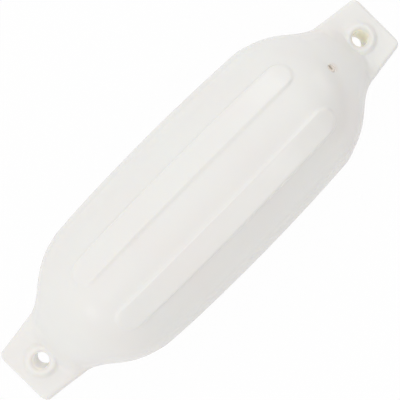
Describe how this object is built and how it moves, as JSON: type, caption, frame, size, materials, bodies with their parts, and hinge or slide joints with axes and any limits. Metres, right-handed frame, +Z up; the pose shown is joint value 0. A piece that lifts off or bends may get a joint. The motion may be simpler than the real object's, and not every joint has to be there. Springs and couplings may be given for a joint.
{
  "type": "boat fender",
  "caption": "Inflated ribbed vinyl boat fender, lying on its side, with a flat rope eye at each end and a small inflation valve.",
  "frame": {"origin": "under the middle of the fender, on the surface that it lies on", "axes": "+X along the fender towards the end with the valve, +Z up, square to the flat rope lugs"},
  "size_m": [0.65, 0.2124, 0.2124],
  "materials": {
    "white_vinyl": "semi-gloss moulded white vinyl, slightly yellowed inside the rope holes",
    "tan_rubber": "matt tan rubber"
  },
  "bodies": {
    "root": {"fender_body": "white_vinyl", "inflation_valve": "tan_rubber"}
  },
  "joints": []
}
